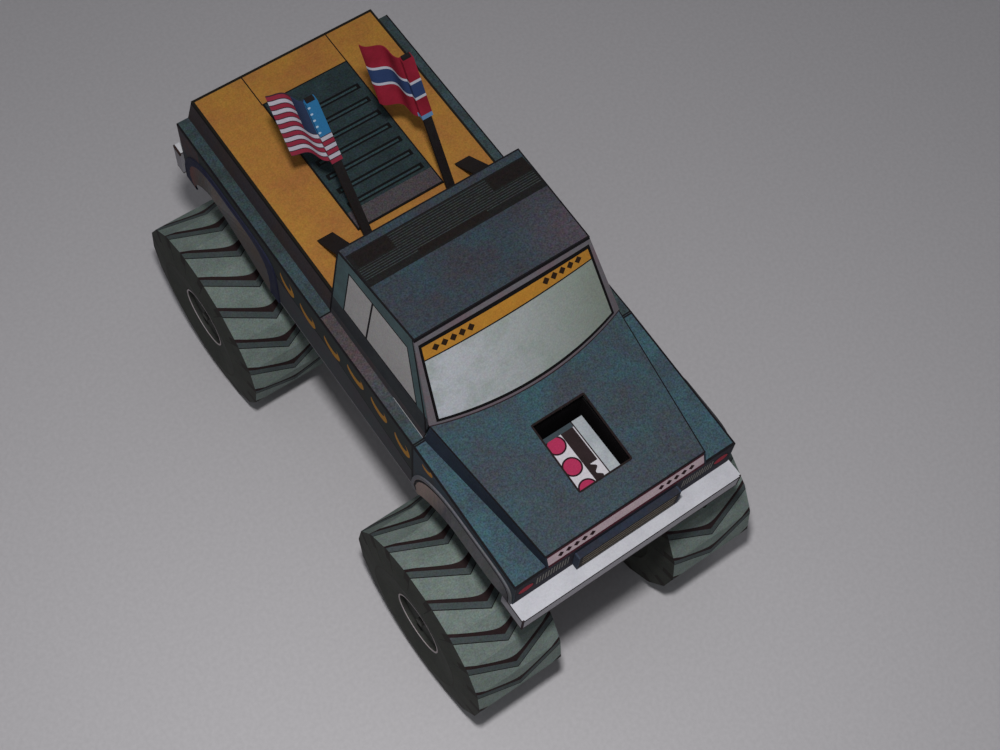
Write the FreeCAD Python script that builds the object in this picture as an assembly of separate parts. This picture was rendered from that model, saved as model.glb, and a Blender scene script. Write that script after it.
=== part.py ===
# Card model of a monster pickup truck, to 1:32, folded and glued from thin card.
# X runs across the truck, its nose points along -Y, +Z is up. The origin is on the ground
# under the middle of the model. "Right" is the truck's own right side, which is -X.
import FreeCAD, Part
import math
import os
from collections import namedtuple

Vector = FreeCAD.Vector
X_AXIS = Vector(1, 0, 0)
Y_AXIS = Vector(0, 1, 0)
Z_AXIS = Vector(0, 0, 1)
RIGHT = -1
LEFT = 1
FRONT = -1
REAR = 1

# ---- driving dimensions, in millimetres ----
card = 0.4                   # thickness of the card
seam = 0.05                  # glue line between two pieces that meet on a slope

# body shell
wheelbase = 101.4
sill_z = 60.8                # lower edge of the sides
side_height = 22.2           # from the sill to the shoulder
body_half_width = 30.0       # outer face of the side panels
nose_wall = 1.0              # side panel left ahead of the front wheel arch
tail_wall = 0.85             # side panel left behind the rear wheel arch
nose_drop = 2.0              # how far the fenders slope down to the nose
nose_panel_height = 13.0
tail_panel_height = 17.6
shoulder_width = 5.2         # of the strips beside cab and bed, with the lap under the walls

# wheel arches, measured from the axle along the sill, and from the sill up
front_arch_rearward = 18.5
front_arch_forward = 18.3
front_arch_height = 17.4
rear_arch_forward = 24.2
rear_arch_rearward = 17.95
rear_arch_height = 17.6

# flares: strips glued round the arches, whose free edge covers part of each opening
flare_width = 1.9            # how far the free edge stands out at its highest point
flare_lap = 0.8              # glued rim round the arch
front_flare_rearward = 16.5  # from the axle to the free edge, along the sill
front_flare_forward = 18.1
front_flare_height = 16.2
rear_flare_forward = 22.1
rear_flare_rearward = 13.8
rear_flare_height = 16.2
arch_steps = 12              # steps from a foot of an arch to its top

# cab
cowl_setback = 0.6           # foot of the windshield behind the front wheel arch
cab_length = 38.4            # from there to the rear of the cab
cab_height = 23.4            # from the shoulder to the rear of the roof
cab_ledge = 3.1              # width of the shoulder beside the rear of the cab
cab_lean = 3.1               # how far the rear of each side leans in, from shoulder to roof
cowl_inset = 4.3             # from the body's side to the windshield's lower corner
roof_rise = 1.7              # how much higher the roof's front edge is
roof_taper = 1.1             # how much nearer the roof's front corners are to the middle
windshield_rake = 10.6       # how far the windshield leans back

# hood
cowl_height = 5.1            # from the shoulder to the rear of the hood
cowl_bow = 4.3               # how far the middle of the cowl curves forward
lip_height = 3.8             # from the nose up to the front of the hood
lip_setback = 1.2
nose_ledge = 8.4             # width of a fender top at the nose
cowl_ledge = 2.9             # width of a fender top at the cowl
hood_hole_half_width = 6.8
hood_hole_length = 17.4
hood_hole_setback = 11.9     # from the cowl's side corners to the hole's rear edge

# engine block under the hood opening, in a dark bay that hides the wheels
engine_width = 13.7
engine_sunk = 2.2            # top of the engine below the hood's front edge
engine_front_lap = 2.7       # how far the engine reaches ahead of the hole
engine_rear_gap = 2.4        # floor of the hole that is left open behind the engine
engine_side_lap = 1.8        # how far the engine reaches past the hole's right edge
bay_margin = 0.9             # from the hole, or from the engine, to the bay's walls
bay_drop = 1.0               # top of the bay's walls below the hood's front edge

# bed
bed_rise = 5.3               # from the shoulder to the bed cover
bed_ledge = 3.2              # width of the shoulder beside the bed
bed_lean = 1.5               # how far each bed wall leans in
louvre_half_width = 11.8
louvre_length = 41.4
louvre_setback = 10.2        # from the tail
louvre_height = 0.5

# braces of the roll bar
brace_inner_x = 16.8
brace_width = 4.2
brace_reach = 14.1           # from the cab to the brace's foot
brace_rise = 10.4            # from the bed to the brace's head
brace_cut = 0.7              # length of the brace's cut foot along the bed

# flags
right_pole_x = -10.9
left_pole_x = 11.7
right_fly = 9.6              # width of the cloth, from the pole to its free edge
left_fly = 10.8
right_wave = 0.8             # how far the cloth swings out each way
left_wave = 0.9
pole_setback = 6.7           # from the cab to the foot of a pole
pole_length = 36.5
pole_width = 2.1
pole_depth = 0.7
pole_tip = 0.5               # bare end above the flag
flag_hoist = 14.4            # height of the cloth along the pole
flag_wavelength = 8.0
flag_thickness = 0.3
flag_steps = 24              # straight steps that draw the wave
sleeve_wall = 0.3
sleeve_gap = 0.05

# grille and bumpers
grille_half_width = 14.0
grille_height = 6.3
grille_drop = 2.7            # below the top of the nose
grille_depth = 1.6
front_bumper_reach = 4.5
front_bumper_overhang = 0.4  # how far each end stands out beyond the side panel
front_bumper_lap = 3.2       # how far an end plate laps the side panel
front_bumper_height = 5.6
rear_bumper_reach = 3.1
rear_bumper_overhang = 1.0
rear_bumper_lap = 0.0
rear_bumper_height = 8.6
bumper_drop = 10.0           # top of the bumpers below the top of the nose

# frame and axles
frame_half_width = 8.0
frame_overhang = 9.3         # how far the frame reaches past each axle
frame_height = 11.8
floor_gap = 0.5              # from the floor to the wheel arches
mount_half_width = 6.0
mount_half_length = 4.5
axle_box_half_side = 2.8
axle_radius = 1.2
axle_recess = 0.3            # end of the axle inside the tyre's outer face
running_gap = 0.1            # radial play of a wheel on its axle
wheel_gap = 1.1              # between an axle box and the tyre

# wheels
tyre_radius = 26.0           # to the flat of a facet
tyre_facets = 18
tread_outer_x = 41.3
tread_width = 24.0
sidewall_bulge = 1.2
bead_radius = 17.0           # ring where the sidewall stands out furthest
hub_radius = 8.6
hub_depth = 1.8
hub_gap = 0.08

# ---- derived sizes ----
# fullness 2 is a quarter ellipse, less is flatter across the corner, more is squarer
Arch = namedtuple("Arch", "to_middle to_end height middle_fullness end_fullness")
arches = {
    FRONT: Arch(front_arch_rearward, front_arch_forward, front_arch_height, 2.4, 8.0),
    REAR: Arch(rear_arch_forward, rear_arch_rearward, rear_arch_height, 6.5, 2.4),
}
free_edges = {
    FRONT: Arch(front_flare_rearward, front_flare_forward, front_flare_height, 1.5, 8.0),
    REAR: Arch(rear_flare_forward, rear_flare_rearward, rear_flare_height, 1.45, 1.45),
}
nose_y = -wheelbase / 2 - front_arch_forward - nose_wall
tail_y = wheelbase / 2 + rear_arch_rearward + tail_wall
inner_half_width = body_half_width - card
shoulder_z = sill_z + side_height
nose_z = shoulder_z - nose_drop
nose_bottom_z = nose_z - nose_panel_height
tail_bottom_z = shoulder_z - tail_panel_height

cowl_y = -wheelbase / 2 + front_arch_rearward + cowl_setback
cab_rear_y = cowl_y + cab_length
cab_foot_half_width = body_half_width - cab_ledge
roof_rear_half_width = cab_foot_half_width - cab_lean
roof_front_half_width = roof_rear_half_width - roof_taper
roof_rear_z = shoulder_z + cab_height
roof_front_z = roof_rear_z + roof_rise
roof_front_y = cowl_y + windshield_rake
windshield_depth = 1.15 * card       # thickness of the leaning windshield along Y

hood_front_y = nose_y + lip_setback
hood_rear_z = shoulder_z + cowl_height
hood_front_z = nose_z + lip_height
hood_rear_half_width = body_half_width - cowl_inset
hood_front_half_width = body_half_width - nose_ledge
hood_hole_rear_y = cowl_y - hood_hole_setback
hood_hole_front_y = hood_hole_rear_y - hood_hole_length

bed_top_z = shoulder_z + bed_rise
bed_foot_half_width = body_half_width - bed_ledge
bed_top_half_width = bed_foot_half_width - bed_lean

Flag = namedtuple("Flag", "foot_x lean_deg heading_deg fly wave")
flags = {
    RIGHT: Flag(right_pole_x, 40.6, 137.0, right_fly, right_wave),
    LEFT: Flag(left_pole_x, 33.4, 125.0, left_fly, left_wave),
}

Bumper = namedtuple("Bumper", "reach half_width lap height")
front_bumper_half_width = body_half_width + front_bumper_overhang
rear_bumper_half_width = body_half_width + rear_bumper_overhang
bumpers = {
    FRONT: Bumper(
        front_bumper_reach, front_bumper_half_width, front_bumper_lap, front_bumper_height),
    REAR: Bumper(rear_bumper_reach, rear_bumper_half_width, rear_bumper_lap, rear_bumper_height),
}
bumper_top_z = nose_z - bumper_drop

axle_z = tyre_radius
frame_half_length = wheelbase / 2 + frame_overhang
frame_bottom_z = sill_z - frame_height
axle_end_x = tread_outer_x - axle_recess
axle_box_half_width = tread_outer_x - tread_width - sidewall_bulge - wheel_gap


def axle_y(end):
    return end * wheelbase / 2


def mirrored(shape):
    return shape.mirror(Vector(0, 0, 0), X_AXIS)


def pair(shape):
    """The shape and its mirror image, as the two solids of one node."""
    return Part.makeCompound([shape, mirrored(shape)])


def box(low, high):
    """A box between two opposite corners."""
    size = Vector(*high) - Vector(*low)
    return Part.makeBox(size.x, size.y, size.z, Vector(*low))


def hollow_box(low, high):
    """A closed box of card between two opposite corners."""
    inner_low = tuple(value + card for value in low)
    inner_high = tuple(value - card for value in high)
    return box(low, high).cut(box(inner_low, inner_high))


def slab(corners, thickness):
    """A flat polygon of card, extruded by the thickness vector."""
    points = [Vector(*corner) for corner in corners]
    outline = Part.makePolygon(points + [points[0]])
    return Part.Face(outline).extrude(thickness)


def flat_face(corners):
    return Part.Face(Part.makePolygon(list(corners) + [corners[0]]))


def faceted_solid(sections):
    """The solid through a row of matching sections, with triangles between them."""
    faces = [flat_face(sections[0]), flat_face(sections[-1])]
    count = len(sections[0])
    for near, far in zip(sections, sections[1:]):
        for corner in range(count):
            after = (corner + 1) % count
            faces.append(flat_face([near[corner], near[after], far[after]]))
            faces.append(flat_face([near[corner], far[after], far[corner]]))
    solid = Part.Solid(Part.Shell(faces))
    if solid.Volume < 0:
        solid.reverse()
    return solid.removeSplitter()


def line_value(start, end, at):
    """Value on the straight line through two (position, value) pairs."""
    return start[1] + (end[1] - start[1]) * (at - start[0]) / (end[0] - start[0])


def fender_z(y):
    return line_value((cowl_y, shoulder_z), (nose_y, nose_z), y)


def roof_z(y):
    return line_value((cab_rear_y, roof_rear_z), (roof_front_y, roof_front_z), y)


def cab_rear_x(z):
    """Outer face of the cab side where it meets the rear wall."""
    return line_value((shoulder_z, cab_foot_half_width), (roof_rear_z, roof_rear_half_width), z)


def hood_z(y):
    return line_value((cowl_y, hood_rear_z), (hood_front_y, hood_front_z), y)


def hood_edge_x(y):
    return line_value((cowl_y, hood_rear_half_width), (hood_front_y, hood_front_half_width), y)


def hood_foot_x(y):
    """Inner edge of the fender top, where the hood's wall stands."""
    return line_value(
        (cowl_y, body_half_width - cowl_ledge), (nose_y, body_half_width - nose_ledge), y)


# ---- body shell ----
def arch_points(end, arch, grow):
    """Points (y, z) along an arch, from its foot by the cab to its foot at the body's end."""
    points = []
    for step in range(2 * arch_steps + 1):
        turn = math.pi / 2 * step / arch_steps
        to_cab = step <= arch_steps
        reach = (arch.to_middle if to_cab else arch.to_end) + grow
        power = 2 / (arch.middle_fullness if to_cab else arch.end_fullness)
        along = reach * round(abs(math.cos(turn)), 9) ** power
        rise = (arch.height + grow) * round(math.sin(turn), 9) ** power
        points.append((axle_y(end) - end * along * (1 if to_cab else -1), sill_z + rise))
    return points


def arch_opening(end, x_low, x_high):
    """Everything under a wheel arch between two X planes."""
    corners = [(x_low, y, z) for y, z in arch_points(end, arches[end], 0)]
    first_y = corners[0][1]
    last_y = corners[-1][1]
    corners += [(x_low, last_y, sill_z - 1), (x_low, first_y, sill_z - 1)]
    return slab(corners, X_AXIS * (x_high - x_low))


def side_panel():
    """Left side panel: a flat plate with both wheel arches cut out."""
    x = inner_half_width
    front_axle_y = axle_y(FRONT)
    rear_axle_y = axle_y(REAR)
    outline = [
        (x, nose_y, nose_bottom_z),
        (x, front_axle_y, nose_bottom_z),
        (x, front_axle_y, sill_z),
        (x, rear_axle_y, sill_z),
        (x, rear_axle_y, tail_bottom_z),
        (x, tail_y, tail_bottom_z),
        (x, tail_y, shoulder_z - card),
        (x, cowl_y, shoulder_z - card),
        (x, nose_y, nose_z - card),
    ]
    plate = slab(outline, X_AXIS * card)
    for end in (FRONT, REAR):
        plate = plate.cut(arch_opening(end, x - 1, body_half_width + 1))
    return plate


def front_panel():
    low = (-inner_half_width, nose_y, nose_bottom_z)
    return box(low, (inner_half_width, nose_y + card, nose_z - card))


def tail_panel():
    low = (-inner_half_width, tail_y - card, tail_bottom_z)
    return box(low, (inner_half_width, tail_y, shoulder_z - card))


def shoulder_strips():
    low = (body_half_width - shoulder_width, cowl_y, shoulder_z - card)
    return pair(box(low, (body_half_width, tail_y, shoulder_z)))


def fender_tops():
    """The sloping tops outside the hood, which widen towards the nose."""
    corners = [
        (body_half_width, cowl_y, fender_z(cowl_y)),
        (body_half_width, nose_y, fender_z(nose_y)),
        (hood_foot_x(nose_y) - card, nose_y, fender_z(nose_y)),
        (hood_foot_x(cowl_y) - card, cowl_y, fender_z(cowl_y)),
    ]
    return pair(slab(corners, Z_AXIS * -card))


# ---- hood ----
def cowl_arc(z_of_y, set_back):
    """The bowed line where windshield and hood meet."""
    side_y = cowl_y + set_back
    middle_y = cowl_y - cowl_bow + set_back
    return Part.Arc(
        Vector(-hood_rear_half_width, side_y, z_of_y(side_y)),
        Vector(0, middle_y, z_of_y(middle_y)),
        Vector(hood_rear_half_width, side_y, z_of_y(side_y)),
    ).toShape()


def hood_panel():
    """The raised hood, with its bowed rear edge and the opening over the engine."""
    rear = cowl_arc(hood_z, windshield_depth)
    rear_y = cowl_y + windshield_depth
    rear_corner = Vector(hood_rear_half_width, rear_y, hood_z(rear_y))
    front_corner = Vector(hood_front_half_width, hood_front_y, hood_front_z)
    corners = [
        rear_corner,
        front_corner,
        Vector(-front_corner.x, front_corner.y, front_corner.z),
        Vector(-rear_corner.x, rear_corner.y, rear_corner.z),
    ]
    outline = Part.Wire([rear] + Part.makePolygon(corners).Edges)
    panel = Part.Face(outline).extrude(Z_AXIS * -card)
    hole_low = (-hood_hole_half_width, hood_hole_front_y, hood_front_z - 2 * card)
    hole_high = (hood_hole_half_width, hood_hole_rear_y, hood_rear_z + card)
    return panel.cut(box(hole_low, hole_high))


def hood_walls():
    """The leaning step between the hood's edge and the fender top, on each side."""
    foot = Part.makeLine(
        Vector(hood_foot_x(cowl_y), cowl_y, fender_z(cowl_y)),
        Vector(hood_foot_x(nose_y), nose_y, fender_z(nose_y)),
    )
    head = Part.makeLine(
        Vector(hood_edge_x(cowl_y), cowl_y, hood_z(cowl_y) - card),
        Vector(hood_edge_x(hood_front_y), hood_front_y, hood_front_z - card),
    )
    return pair(Part.makeRuledSurface(foot, head).extrude(X_AXIS * -card))


def hood_lip():
    """The narrow strip that closes the front of the hood above the nose."""
    half = hood_front_half_width - card - seam
    top = (hood_front_y, hood_front_z - card)
    bottom = (nose_y, nose_z - card)
    corners = [(-half, *bottom), (half, *bottom), (half, *top), (-half, *top)]
    return slab(corners, Y_AXIS * card)


def engine_corners():
    right_x = -hood_hole_half_width - engine_side_lap
    low = (right_x, hood_hole_front_y - engine_front_lap, sill_z)
    high = (right_x + engine_width, hood_hole_rear_y - engine_rear_gap, hood_front_z - engine_sunk)
    return low, high


def engine_box():
    """The folded box on the frame whose printed top shows through the hood."""
    return hollow_box(*engine_corners())


def engine_bay():
    """Four walls on the frame, round the engine and under the hood's opening."""
    engine_low, engine_high = engine_corners()
    low_x = engine_low[0] - bay_margin
    low_y = engine_low[1] - bay_margin
    high_x = hood_hole_half_width + bay_margin
    high_y = hood_hole_rear_y + bay_margin
    top_z = hood_front_z - bay_drop
    block = box((low_x, low_y, sill_z), (high_x, high_y, top_z))
    inner_low = (low_x + card, low_y + card, sill_z - 1)
    return block.cut(box(inner_low, (high_x - card, high_y - card, top_z + 1)))


# ---- cab ----
def cab_side():
    """Left side of the cab, folded along the belt line level with the hood's rear."""
    set_back = windshield_depth + seam
    front_y = cowl_y + set_back
    corner_y = roof_front_y + set_back
    foot = Part.makeLine(
        Vector(cab_foot_half_width, cab_rear_y, shoulder_z),
        Vector(hood_foot_x(cowl_y), front_y, shoulder_z),
    )
    belt = Part.makeLine(
        Vector(cab_rear_x(hood_rear_z), cab_rear_y, hood_rear_z),
        Vector(hood_rear_half_width, front_y, hood_rear_z),
    )
    head = Part.makeLine(
        Vector(roof_rear_half_width, cab_rear_y, roof_rear_z - card),
        Vector(roof_front_half_width, corner_y, roof_z(corner_y) - card),
    )
    lower = Part.makeRuledSurface(foot, belt).extrude(X_AXIS * -card)
    upper = Part.makeRuledSurface(belt, head).extrude(X_AXIS * -card)
    return lower.fuse(upper)


def cab_rear_wall():
    """Back of the cab, between the two sides, standing on the shoulder strips."""
    inset = card + seam
    foot = cab_rear_x(shoulder_z) - inset
    head = cab_rear_x(roof_rear_z - card) - inset
    corners = [
        (-foot, cab_rear_y, shoulder_z),
        (foot, cab_rear_y, shoulder_z),
        (head, cab_rear_y, roof_rear_z - card),
        (-head, cab_rear_y, roof_rear_z - card),
    ]
    return slab(corners, Y_AXIS * -card)


def roof_panel():
    corners = [
        (-roof_rear_half_width, cab_rear_y, roof_rear_z),
        (roof_rear_half_width, cab_rear_y, roof_rear_z),
        (roof_front_half_width, roof_front_y, roof_front_z),
        (-roof_front_half_width, roof_front_y, roof_front_z),
    ]
    return slab(corners, Z_AXIS * -card)


def windshield():
    """One sheet from the straight front of the roof down to the bowed cowl."""
    top_z = roof_front_z - card - seam
    top = Part.makeLine(
        Vector(-roof_front_half_width, roof_front_y, top_z),
        Vector(roof_front_half_width, roof_front_y, top_z),
    )
    foot = cowl_arc(lambda y: hood_z(y) + seam, 0)
    return Part.makeRuledSurface(top, foot).extrude(Y_AXIS * windshield_depth)


# ---- bed ----
def bed_cover():
    low = (-bed_top_half_width, cab_rear_y + seam, bed_top_z - card)
    return box(low, (bed_top_half_width, tail_y, bed_top_z))


def bed_walls():
    """The leaning side walls between the shoulder and the bed cover."""
    front = cab_rear_y + seam
    rear = tail_y - card - seam
    top = bed_top_z - card
    corners = [
        (bed_foot_half_width, front, shoulder_z),
        (bed_foot_half_width, rear, shoulder_z),
        (bed_top_half_width, rear, top),
        (bed_top_half_width, front, top),
    ]
    return pair(slab(corners, X_AXIS * -card))


def bed_rear_wall():
    top = bed_top_z - card
    corners = [
        (-bed_foot_half_width, tail_y, shoulder_z),
        (bed_foot_half_width, tail_y, shoulder_z),
        (bed_top_half_width, tail_y, top),
        (-bed_top_half_width, tail_y, top),
    ]
    return slab(corners, Y_AXIS * -card)


def louvre_panel():
    rear_y = tail_y - louvre_setback
    low = (-louvre_half_width, rear_y - louvre_length, bed_top_z)
    return box(low, (louvre_half_width, rear_y, bed_top_z + louvre_height))


def braces():
    """Two straps that slope from the bed up to the back of the cab."""
    foot_y = cab_rear_y + brace_reach
    head_z = bed_top_z + brace_rise
    profile = [
        (foot_y, bed_top_z),
        (foot_y - brace_cut, bed_top_z),
        (cab_rear_y, head_z - card),
        (cab_rear_y, head_z),
    ]
    corners = [(brace_inner_x, y, z) for y, z in profile]
    return pair(slab(corners, X_AXIS * brace_width))


# ---- flags ----
def pole_direction(flag):
    lean = math.radians(flag.lean_deg)
    return Vector(0, math.sin(lean), math.cos(lean))


def pole_section(flag, grow):
    """The pole's cut on the bed cover, a rectangle in the XY plane."""
    half_x = pole_width / 2 + grow
    half_y = (pole_depth / 2 + grow) / pole_direction(flag).z
    foot_y = cab_rear_y + pole_setback
    corners = []
    for side_x, side_y in ((-1, -1), (1, -1), (1, 1), (-1, 1)):
        corners.append((flag.foot_x + side_x * half_x, foot_y + side_y * half_y, bed_top_z))
    return corners


def flag_pole(flag):
    return slab(pole_section(flag, 0), pole_direction(flag) * pole_length)


def flag_cloth(flag):
    """A waving flag with the sleeve that holds it to its pole."""
    up = pole_direction(flag)
    reach = up * flag_hoist
    heading = math.radians(flag.heading_deg)
    along = Vector(math.cos(heading), math.sin(heading), 0)
    across = Vector(-math.sin(heading), math.cos(heading), 0)
    root = Vector(flag.foot_x, cab_rear_y + pole_setback, bed_top_z)
    near_edge = []
    far_edge = []
    for step in range(flag_steps + 1):
        distance = flag.fly * step / flag_steps
        wave = flag.wave * math.sin(2 * math.pi * distance / flag_wavelength)
        middle = root + along * distance + across * wave
        near_edge.append(middle - across * (flag_thickness / 2))
        far_edge.append(middle + across * (flag_thickness / 2))
    cloth = slab(near_edge + far_edge[::-1], reach)
    sleeve = slab(pole_section(flag, sleeve_gap + sleeve_wall), reach)
    whole = sleeve.fuse(cloth)
    whole.translate(up * (pole_length - pole_tip - flag_hoist))
    bore = slab(pole_section(flag, sleeve_gap), up * (2 * pole_length))
    whole = whole.cut(bore).removeSplitter()
    return max(whole.Solids, key=lambda solid: solid.Volume)


# ---- nose and tail ----
def grille_box():
    top_z = nose_z - grille_drop
    low = (-grille_half_width, nose_y - grille_depth, top_z - grille_height)
    return box(low, (grille_half_width, nose_y, top_z))


def bumper(end):
    """A closed box beam, with an end plate at each side that laps the side panel."""
    size = bumpers[end]
    panel_y = nose_y if end == FRONT else tail_y
    face_y = panel_y + end * size.reach
    bottom = bumper_top_z - size.height
    beam_span = sorted((face_y, panel_y))
    plate_span = sorted((face_y, panel_y - end * size.lap))
    half = size.half_width
    beam = hollow_box((-half, beam_span[0], bottom), (half, beam_span[1], bumper_top_z))
    for low_x in (-half, half - card):
        plate_high = (low_x + card, plate_span[1], bumper_top_z)
        beam = beam.fuse(box((low_x, plate_span[0], bottom), plate_high))
    return beam.removeSplitter()


def flare(end):
    """A strip with a flat glued rim, whose free edge stands out most over the wheel."""
    rim = arch_points(end, arches[end], flare_lap)
    bend = arch_points(end, arches[end], 0)
    edge = arch_points(end, free_edges[end], 0)
    panel_x = body_half_width
    sections = []
    for step, (rim_at, bend_at, edge_at) in enumerate(zip(rim, bend, edge)):
        edge_x = panel_x + flare_width * math.sin(math.pi * step / (2 * arch_steps))
        inner = [(panel_x, *rim_at), (panel_x, *bend_at), (edge_x, *edge_at)]
        outer = [(x + card, y, z) for x, y, z in inner[::-1]]
        sections.append([Vector(*corner) for corner in inner + outer])
    return faceted_solid(sections)


def arch_flares(end):
    """The flares of a pair of wheel arches, cut off above the bumper's end plates."""
    stop_z = bumper_top_z + seam if end == FRONT else sill_z
    far_y = axle_y(end) + end * body_half_width
    beyond = sorted((axle_y(end), far_y))
    beside_end = box((0, beyond[0], 0), (2 * body_half_width, beyond[1], stop_z))
    return pair(flare(end).cut(beside_end))


# ---- frame and axles ----
def floor_panel():
    """The floor between the wheel arches."""
    front_y = axle_y(FRONT) + arches[FRONT].to_middle + floor_gap
    rear_y = axle_y(REAR) - arches[REAR].to_middle - floor_gap
    return box((-inner_half_width, front_y, sill_z), (inner_half_width, rear_y, sill_z + card))


def frame_box():
    """The card box beam under the floor, closed at both ends."""
    low = (-frame_half_width, -frame_half_length, frame_bottom_z)
    return hollow_box(low, (frame_half_width, frame_half_length, sill_z))


def axle_mount(end):
    """The card post between the frame and an axle box."""
    y = axle_y(end)
    low = (-mount_half_width, y - mount_half_length, axle_z + axle_box_half_side)
    return hollow_box(low, (mount_half_width, y + mount_half_length, frame_bottom_z))


def axle_mounts():
    return Part.makeCompound([axle_mount(FRONT), axle_mount(REAR)])


def axle_box(end):
    """The square sleeve that holds an axle rod."""
    y = axle_y(end)
    side = axle_box_half_side
    low = (-axle_box_half_width, y - side, axle_z - side)
    block = box(low, (axle_box_half_width, y + side, axle_z + side))
    bore_foot = Vector(-axle_box_half_width - 1, y, axle_z)
    bore_length = 2 * axle_box_half_width + 2
    return block.cut(Part.makeCylinder(axle_radius + seam, bore_length, bore_foot, X_AXIS))


def axle_boxes():
    return Part.makeCompound([axle_box(FRONT), axle_box(REAR)])


def axle_rod(end):
    foot = Vector(-axle_end_x, axle_y(end), axle_z)
    return Part.makeCylinder(axle_radius, 2 * axle_end_x, foot, X_AXIS)


# ---- wheels ----
def ring_wire(flat_radius, x):
    """A closed polygon of the tyre's facets round the X axis, standing on a flat."""
    corner_radius = flat_radius / math.cos(math.pi / tyre_facets)
    points = []
    for index in range(tyre_facets + 1):
        angle = math.pi * (2 * index + 1) / tyre_facets - math.pi / 2
        y = corner_radius * math.cos(angle)
        z = corner_radius * math.sin(angle)
        points.append(Vector(x, y, z))
    return Part.makePolygon(points)


def faceted_cone(x_a, radius_a, x_b, radius_b):
    return Part.makeLoft([ring_wire(radius_a, x_a), ring_wire(radius_b, x_b)], True, True)


def drum(inset):
    """The tyre's outer form, shrunk by an inset: sidewalls swell to the bead, then dip in."""
    half = tread_width / 2 - inset
    bead = half + sidewall_bulge
    radius = tyre_radius - inset
    form = faceted_cone(-half, radius, half, radius)
    for side in (-1, 1):
        form = form.fuse(faceted_cone(side * half, radius, side * bead, bead_radius))
        form = form.cut(faceted_cone(side * bead, bead_radius, side * half, hub_radius))
    return form


def tyre():
    """A hollow drum of card with a hole through both sidewalls for the hub."""
    reach = tread_width / 2 + sidewall_bulge
    hole = faceted_cone(-reach, hub_radius, reach, hub_radius)
    return drum(0).cut(drum(card)).cut(hole).removeSplitter()


def hub():
    """Two cups set into the sidewalls' holes, with a bore for the axle."""
    half = tread_width / 2
    radius = hub_radius - hub_gap
    cups = []
    for side in (-1, 1):
        mouth = Vector(side * half, 0, 0)
        inward = X_AXIS * -side
        cup = Part.makeCylinder(radius, hub_depth, mouth, inward)
        recess = Part.makeCylinder(radius - card, hub_depth - card, mouth, inward)
        bore = Part.makeCylinder(axle_radius + running_gap, hub_depth + 1, mouth, inward)
        cups.append(cup.cut(recess).cut(bore))
    return Part.makeCompound(cups)


def place_wheel(shape, end, side):
    placed = shape.copy()
    centre_x = side * (tread_outer_x - tread_width / 2)
    placed.translate(Vector(centre_x, axle_y(end), axle_z))
    return placed


def build():
    """Every node of the model, by name."""
    nodes = {
        "side_panel_right": mirrored(side_panel()),
        "side_panel_left": side_panel(),
        "front_panel": front_panel(),
        "tail_panel": tail_panel(),
        "shoulder_strips": shoulder_strips(),
        "fender_tops": fender_tops(),
        "hood_panel": hood_panel(),
        "hood_walls": hood_walls(),
        "hood_lip": hood_lip(),
        "engine_box": engine_box(),
        "engine_bay": engine_bay(),
        "cab_side_right": mirrored(cab_side()),
        "cab_side_left": cab_side(),
        "cab_rear_wall": cab_rear_wall(),
        "roof_panel": roof_panel(),
        "windshield": windshield(),
        "bed_cover": bed_cover(),
        "bed_walls": bed_walls(),
        "bed_rear_wall": bed_rear_wall(),
        "louvre_panel": louvre_panel(),
        "braces": braces(),
        "flag_poles": Part.makeCompound([flag_pole(flags[RIGHT]), flag_pole(flags[LEFT])]),
        "flag_right": flag_cloth(flags[RIGHT]),
        "flag_left": flag_cloth(flags[LEFT]),
        "grille_box": grille_box(),
        "front_bumper": bumper(FRONT),
        "rear_bumper": bumper(REAR),
        "arch_flares_front": arch_flares(FRONT),
        "arch_flares_rear": arch_flares(REAR),
        "floor_panel": floor_panel(),
        "frame_box": frame_box(),
        "axle_mounts": axle_mounts(),
        "axle_boxes": axle_boxes(),
        "axle_rod_front": axle_rod(FRONT),
        "axle_rod_rear": axle_rod(REAR),
    }
    tyre_shape = tyre()
    hub_shape = hub()
    for end, end_name in ((FRONT, "front"), (REAR, "rear")):
        for side, side_name in ((RIGHT, "right"), (LEFT, "left")):
            place = f"{end_name}_{side_name}"
            nodes["tyre_" + place] = place_wheel(tyre_shape, end, side)
            nodes["hub_" + place] = place_wheel(hub_shape, end, side)
    return nodes


os.makedirs("parts", exist_ok=True)
for name, shape in build().items():
    shape.exportStep(f"parts/{name}.step")
    print(f"{name}: {len(shape.Solids)} solid(s), {shape.Volume:.2f} mm3, valid {shape.isValid()}")
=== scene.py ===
# %% [markdown]
# # A card model of a monster truck
# The real thing is a printed sheet that is cut out, folded and glued. Its shapes are plain, so
# most of its looks are ink: flat colours with black outlines, laid on white card by a printer.
# The CAD parts already have the folds. This file gives them their ink and lights the model like
# something on a desk.

# %% Load the folded parts
import math

import bpy
from mathutils import Matrix, Vector


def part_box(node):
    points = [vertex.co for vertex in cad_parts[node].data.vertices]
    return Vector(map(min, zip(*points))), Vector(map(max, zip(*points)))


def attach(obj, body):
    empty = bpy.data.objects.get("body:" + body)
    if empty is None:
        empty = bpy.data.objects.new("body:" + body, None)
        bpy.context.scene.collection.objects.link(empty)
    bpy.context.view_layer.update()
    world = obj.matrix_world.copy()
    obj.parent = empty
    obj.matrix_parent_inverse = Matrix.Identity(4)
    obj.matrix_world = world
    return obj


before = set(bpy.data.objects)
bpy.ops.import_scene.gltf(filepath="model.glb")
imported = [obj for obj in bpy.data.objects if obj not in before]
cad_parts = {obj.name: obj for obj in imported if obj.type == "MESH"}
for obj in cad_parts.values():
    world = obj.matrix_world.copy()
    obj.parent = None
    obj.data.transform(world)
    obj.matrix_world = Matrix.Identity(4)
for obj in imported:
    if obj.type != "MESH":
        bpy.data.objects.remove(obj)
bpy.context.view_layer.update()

# %% [markdown]
# ## Camera
# The model is seen from above its right headlight, tilted a little, as someone leaning over a desk
# would hold a camera. A lens of 56 mm keeps the perspective mild.

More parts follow.
